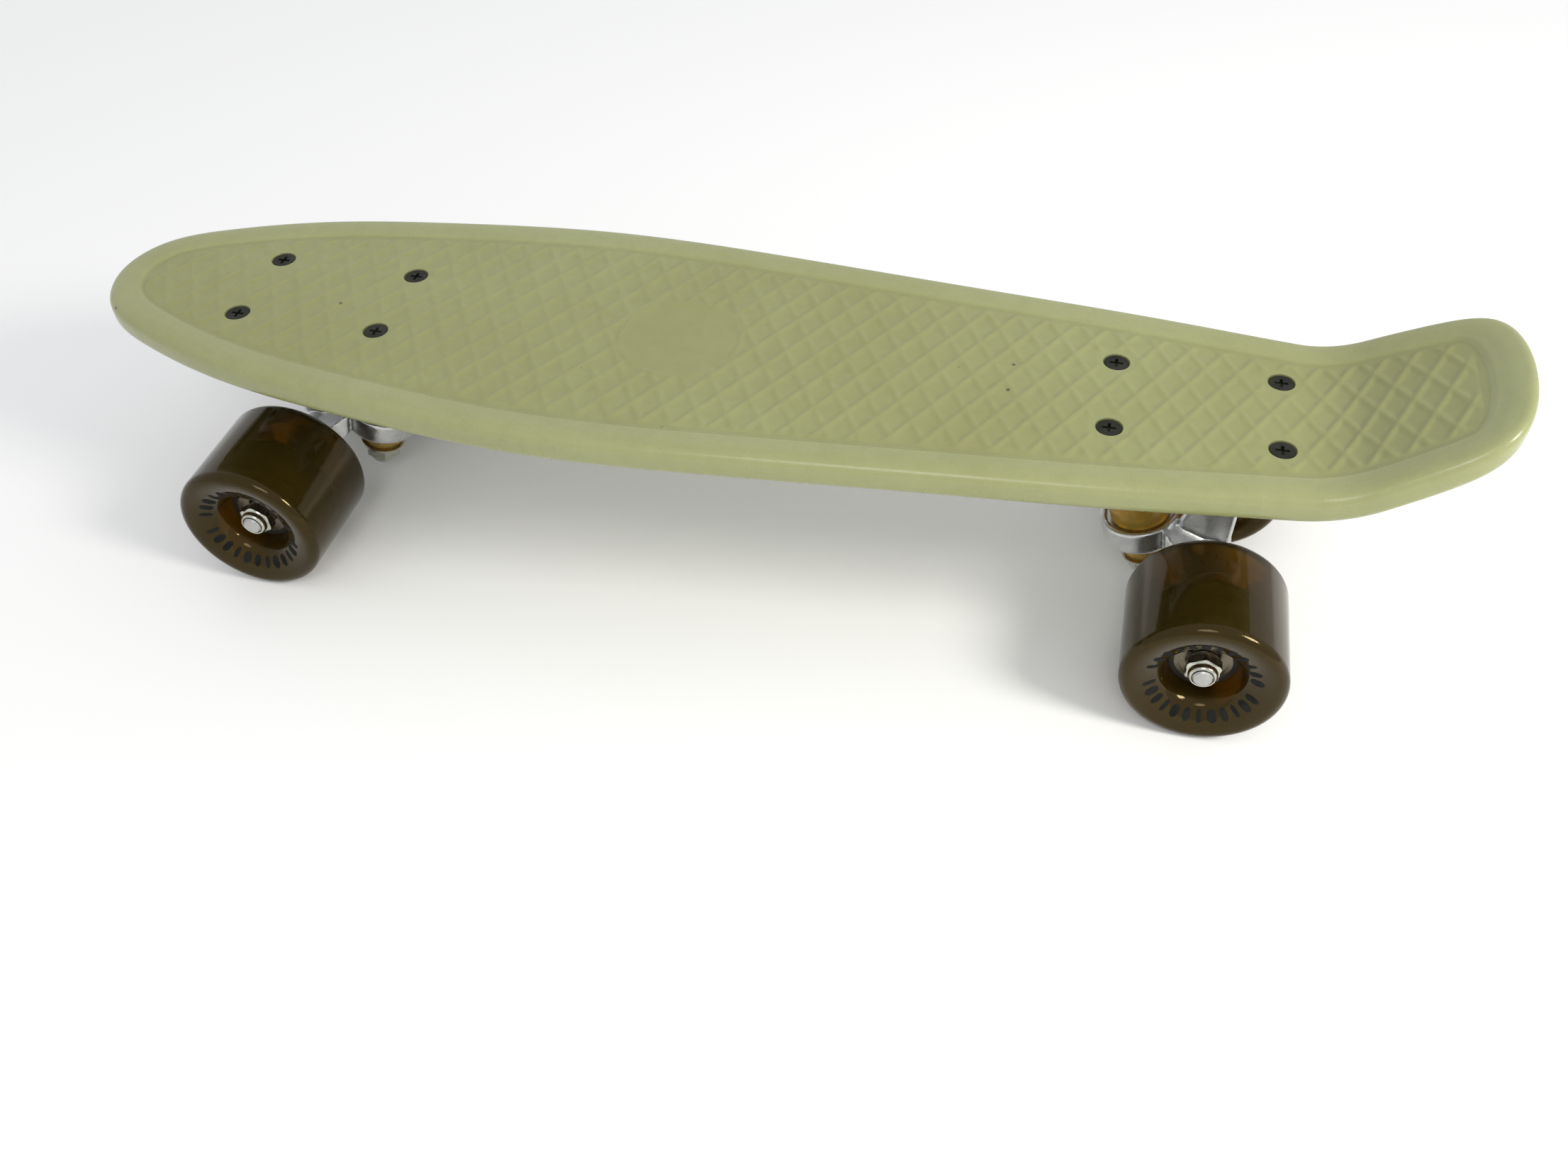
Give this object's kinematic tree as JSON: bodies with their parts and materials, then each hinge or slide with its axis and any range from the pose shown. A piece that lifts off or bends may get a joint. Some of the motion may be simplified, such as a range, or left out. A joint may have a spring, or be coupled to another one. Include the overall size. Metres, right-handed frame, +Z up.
{
  "type": "skateboard",
  "caption": "Small plastic cruiser skateboard: moulded deck with a raised rim and a kicktail, on two cast trucks with soft translucent wheels.",
  "frame": {"origin": "on the ground, under the middle of the board's length and width", "axes": "+X along the board towards the kicktail, +Y towards the rider's right when facing the nose, +Z up"},
  "size_m": [0.576, 0.162, 0.1362],
  "materials": {
    "deck_plastic": "pale yellow-green moulded plastic, satin",
    "black_steel": "black oxide, satin",
    "zinc_steel": "zinc plated",
    "cast_aluminium": "polished casting",
    "axle_steel": "bright steel",
    "bearing_steel": "ground and polished",
    "amber_urethane": "amber cast urethane",
    "pivot_rubber": "black moulded urethane",
    "wheel_urethane": "smoky amber translucent urethane, glossy",
    "core_plastic": "dark moulded nylon",
    "cage_plastic": "natural nylon"
  },
  "bodies": {
    "board": {"deck": "deck_plastic", "mount_bolts": "black_steel", "mount_nuts": "zinc_steel", "front_baseplate": "cast_aluminium", "front_pivot_cup": "pivot_rubber", "front_kingpin": "zinc_steel", "front_kingpin_nut": "zinc_steel", "front_cup_washers": "zinc_steel", "front_upper_bushing": "amber_urethane", "front_lower_bushing": "amber_urethane", "rear_baseplate": "cast_aluminium", "rear_pivot_cup": "pivot_rubber", "rear_kingpin": "zinc_steel", "rear_kingpin_nut": "zinc_steel", "rear_cup_washers": "zinc_steel", "rear_upper_bushing": "amber_urethane", "rear_lower_bushing": "amber_urethane"},
    "front_hanger": {"front_hanger": "cast_aluminium", "front_axle": "axle_steel", "front_inner_races": "bearing_steel", "front_bearing_spacers": "axle_steel", "front_speed_washers": "zinc_steel", "front_axle_nuts": "zinc_steel"},
    "front_left_wheel": {"front_left_wheel": "wheel_urethane", "front_left_wheel_core": "core_plastic", "front_left_outer_races": "bearing_steel", "front_left_bearing_shields": "bearing_steel"},
    "front_left_balls": {"front_left_bearing_balls": "bearing_steel", "front_left_bearing_cages": "cage_plastic"},
    "front_right_wheel": {"front_right_wheel": "wheel_urethane", "front_right_wheel_core": "core_plastic", "front_right_outer_races": "bearing_steel", "front_right_bearing_shields": "bearing_steel"},
    "front_right_balls": {"front_right_bearing_balls": "bearing_steel", "front_right_bearing_cages": "cage_plastic"},
    "rear_hanger": {"rear_hanger": "cast_aluminium", "rear_axle": "axle_steel", "rear_inner_races": "bearing_steel", "rear_bearing_spacers": "axle_steel", "rear_speed_washers": "zinc_steel", "rear_axle_nuts": "zinc_steel"},
    "rear_left_wheel": {"rear_left_wheel": "wheel_urethane", "rear_left_wheel_core": "core_plastic", "rear_left_outer_races": "bearing_steel", "rear_left_bearing_shields": "bearing_steel"},
    "rear_left_balls": {"rear_left_bearing_balls": "bearing_steel", "rear_left_bearing_cages": "cage_plastic"},
    "rear_right_wheel": {"rear_right_wheel": "wheel_urethane", "rear_right_wheel_core": "core_plastic", "rear_right_outer_races": "bearing_steel", "rear_right_bearing_shields": "bearing_steel"},
    "rear_right_balls": {"rear_right_bearing_balls": "bearing_steel", "rear_right_bearing_cages": "cage_plastic"}
  },
  "joints": [
    {"name": "front_steer", "type": "hinge", "parent": "board", "child": "front_hanger", "pos_m": [-0.219, 0, 0.075], "axis": [0.7554, 0, -0.6553], "range_deg": [-12, 12], "stiffness_Nm_per_rad": 30, "deforming": ["front_upper_bushing", "front_lower_bushing"]},
    {"name": "front_left_spin", "type": "hinge", "parent": "front_hanger", "child": "front_left_wheel", "pos_m": [-0.206, -0.0555, 0.0315], "axis": [0, 1, 0], "continuous": true},
    {"name": "front_left_ball_spin", "type": "hinge", "parent": "front_hanger", "child": "front_left_balls", "pos_m": [-0.206, -0.0555, 0.0315], "axis": [0, 1, 0], "continuous": true},
    {"name": "front_right_spin", "type": "hinge", "parent": "front_hanger", "child": "front_right_wheel", "pos_m": [-0.206, 0.0555, 0.0315], "axis": [0, 1, 0], "continuous": true},
    {"name": "front_right_ball_spin", "type": "hinge", "parent": "front_hanger", "child": "front_right_balls", "pos_m": [-0.206, 0.0555, 0.0315], "axis": [0, 1, 0], "continuous": true},
    {"name": "rear_steer", "type": "hinge", "parent": "board", "child": "rear_hanger", "pos_m": [0.208, 0, 0.075], "axis": [-0.7554, 0, -0.6553], "range_deg": [-12, 12], "stiffness_Nm_per_rad": 30, "deforming": ["rear_upper_bushing", "rear_lower_bushing"]},
    {"name": "rear_left_spin", "type": "hinge", "parent": "rear_hanger", "child": "rear_left_wheel", "pos_m": [0.195, -0.0555, 0.0315], "axis": [0, 1, 0], "continuous": true},
    {"name": "rear_left_ball_spin", "type": "hinge", "parent": "rear_hanger", "child": "rear_left_balls", "pos_m": [0.195, -0.0555, 0.0315], "axis": [0, 1, 0], "continuous": true},
    {"name": "rear_right_spin", "type": "hinge", "parent": "rear_hanger", "child": "rear_right_wheel", "pos_m": [0.195, 0.0555, 0.0315], "axis": [0, 1, 0], "continuous": true},
    {"name": "rear_right_ball_spin", "type": "hinge", "parent": "rear_hanger", "child": "rear_right_balls", "pos_m": [0.195, 0.0555, 0.0315], "axis": [0, 1, 0], "continuous": true}
  ],
  "couplings": [
    {"joint": "front_left_ball_spin", "follows": "front_left_spin", "ratio": 0.6272},
    {"joint": "front_right_ball_spin", "follows": "front_right_spin", "ratio": 0.6272},
    {"joint": "rear_left_ball_spin", "follows": "rear_left_spin", "ratio": 0.6272},
    {"joint": "rear_right_ball_spin", "follows": "rear_right_spin", "ratio": 0.6272}
  ]
}
